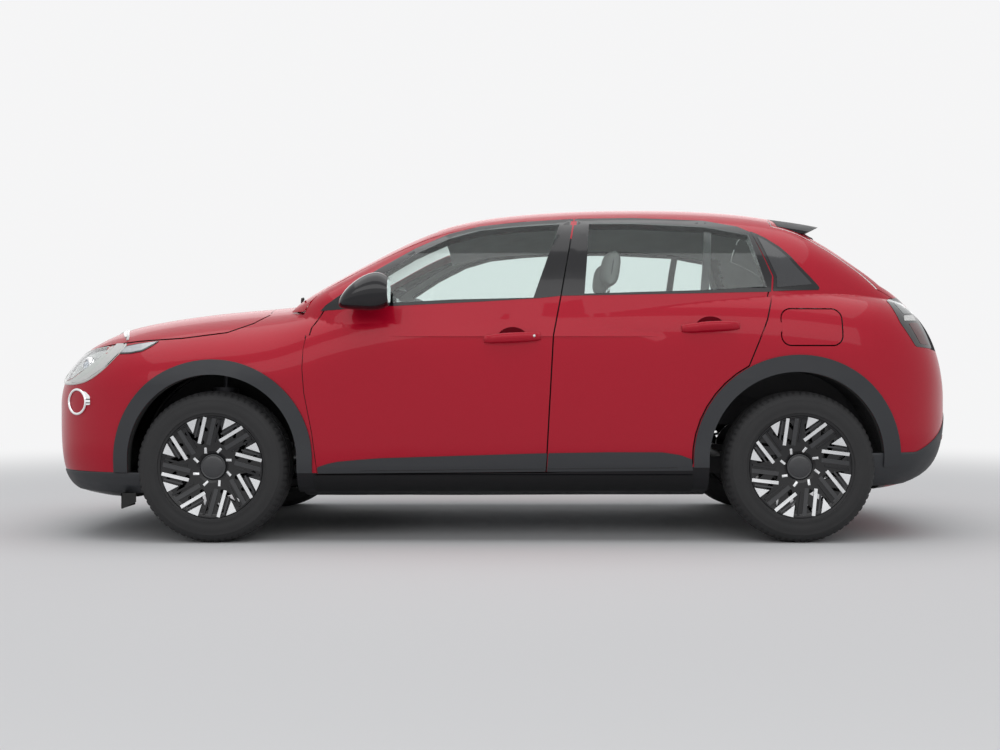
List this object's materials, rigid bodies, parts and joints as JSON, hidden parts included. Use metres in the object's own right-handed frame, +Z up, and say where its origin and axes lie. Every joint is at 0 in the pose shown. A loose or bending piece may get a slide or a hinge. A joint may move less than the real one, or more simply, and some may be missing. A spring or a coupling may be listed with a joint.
{
  "type": "electric suv",
  "caption": "Compact five-door electric crossover with opening doors, bonnet, tailgate and charge flap, steered front wheels and dark sill and arch cladding.",
  "frame": {"origin": "on the ground under the middle of the car, halfway along its length", "axes": "+X towards the tail, +Y to the right-hand side, +Z up; the front faces -X"},
  "size_m": [4.167, 2, 1.5289],
  "materials": {
    "paint": "gloss",
    "glass": "clear",
    "tyre": "matt",
    "cover": "gloss",
    "gloss_black": "gloss",
    "cast": "rough",
    "lens": "clear",
    "lens_red": "clear",
    "alu": "satin",
    "steel": "satin",
    "fabric": "woven",
    "plastic": "grained",
    "cladding": "grained"
  },
  "bodies": {
    "body": {"body_shell": "paint", "roof_panel": "paint", "front_fenders": "paint", "front_bumper": "paint", "rear_bumper": "paint", "windscreen": "glass", "headlamps": "lens", "tail_lamps": "lens_red", "battery_pack": "alu", "drive_motor": "alu", "rear_axle": "steel", "front_suspension": "steel", "front_seats": "fabric", "rear_bench": "fabric", "dashboard": "plastic", "arch_cladding": "cladding", "sill_cladding": "cladding"},
    "front_door_left": {"door_front_left": "paint", "door_glass_front_left": "glass", "mirror_left": "gloss_black"},
    "rear_door_left": {"door_rear_left": "paint", "door_glass_rear_left": "glass"},
    "steering_knuckle_left": {"knuckle_left": "cast"},
    "road_wheel_front_left": {"tyre_front_left": "tyre", "wheel_front_left": "cover"},
    "road_wheel_rear_left": {"tyre_rear_left": "tyre", "wheel_rear_left": "cover"},
    "front_door_right": {"door_front_right": "paint", "door_glass_front_right": "glass", "mirror_right": "gloss_black"},
    "rear_door_right": {"door_rear_right": "paint", "door_glass_rear_right": "glass"},
    "steering_knuckle_right": {"knuckle_right": "cast"},
    "road_wheel_front_right": {"tyre_front_right": "tyre", "wheel_front_right": "cover"},
    "road_wheel_rear_right": {"tyre_rear_right": "tyre", "wheel_rear_right": "cover"},
    "bonnet_lid": {"bonnet": "paint"},
    "tail_gate": {"tailgate": "paint", "tailgate_glass": "glass", "spoiler": "gloss_black"},
    "flap": {"charge_flap": "paint"},
    "helm": {"steering_wheel": "plastic"}
  },
  "joints": [
    {"name": "front_door_left_swing", "type": "hinge", "parent": "body", "child": "front_door_left", "pos_m": [-0.8535, -0.88, 0.8], "axis": [0, 0, -1], "range_deg": [0, 65]},
    {"name": "rear_door_left_swing", "type": "hinge", "parent": "body", "child": "rear_door_left", "pos_m": [0.2085, -0.88, 0.8], "axis": [0, 0, -1], "range_deg": [0, 70]},
    {"name": "front_door_right_swing", "type": "hinge", "parent": "body", "child": "front_door_right", "pos_m": [-0.8535, 0.88, 0.8], "axis": [0, 0, 1], "range_deg": [0, 65]},
    {"name": "rear_door_right_swing", "type": "hinge", "parent": "body", "child": "rear_door_right", "pos_m": [0.2085, 0.88, 0.8], "axis": [0, 0, 1], "range_deg": [0, 70]},
    {"name": "bonnet_lift", "type": "hinge", "parent": "body", "child": "bonnet_lid", "pos_m": [-1.003, 0, 1.08], "axis": [0, 1, 0], "range_deg": [0, 50]},
    {"name": "tailgate_lift", "type": "hinge", "parent": "body", "child": "tail_gate", "pos_m": [1.239, 0, 1.502], "axis": [0, -1, 0], "range_deg": [0, 78]},
    {"name": "charge_flap_swing", "type": "hinge", "parent": "body", "child": "flap", "pos_m": [1.2315, -0.8815, 0.941], "axis": [0, 0, -1], "range_deg": [0, 90]},
    {"name": "steer_left", "type": "hinge", "parent": "body", "child": "steering_knuckle_left", "pos_m": [-1.247, -0.69, 0.246], "axis": [0, 0.1847, 0.9828], "range_deg": [-34, 34]},
    {"name": "steer_right", "type": "hinge", "parent": "body", "child": "steering_knuckle_right", "pos_m": [-1.247, 0.69, 0.246], "axis": [0, -0.1847, 0.9828], "range_deg": [-34, 34]},
    {"name": "steering_wheel_turn", "type": "hinge", "parent": "body", "child": "helm", "pos_m": [-0.33, -0.37, 0.905], "axis": [0.9135, 0, 0.4067], "range_deg": [-515, 515]},
    {"name": "wheel_front_left_spin", "type": "hinge", "parent": "steering_knuckle_left", "child": "road_wheel_front_left", "pos_m": [-1.247, -0.768, 0.331], "axis": [0, 1, 0], "continuous": true},
    {"name": "wheel_rear_left_spin", "type": "hinge", "parent": "body", "child": "road_wheel_rear_left", "pos_m": [1.315, -0.768, 0.331], "axis": [0, 1, 0], "continuous": true},
    {"name": "wheel_front_right_spin", "type": "hinge", "parent": "steering_knuckle_right", "child": "road_wheel_front_right", "pos_m": [-1.247, 0.768, 0.331], "axis": [0, 1, 0], "continuous": true},
    {"name": "wheel_rear_right_spin", "type": "hinge", "parent": "body", "child": "road_wheel_rear_right", "pos_m": [1.315, 0.768, 0.331], "axis": [0, 1, 0], "continuous": true}
  ],
  "couplings": [
    {"joint": "steer_right", "follows": "steer_left", "ratio": 1},
    {"joint": "steering_wheel_turn", "follows": "steer_left", "ratio": 15}
  ]
}
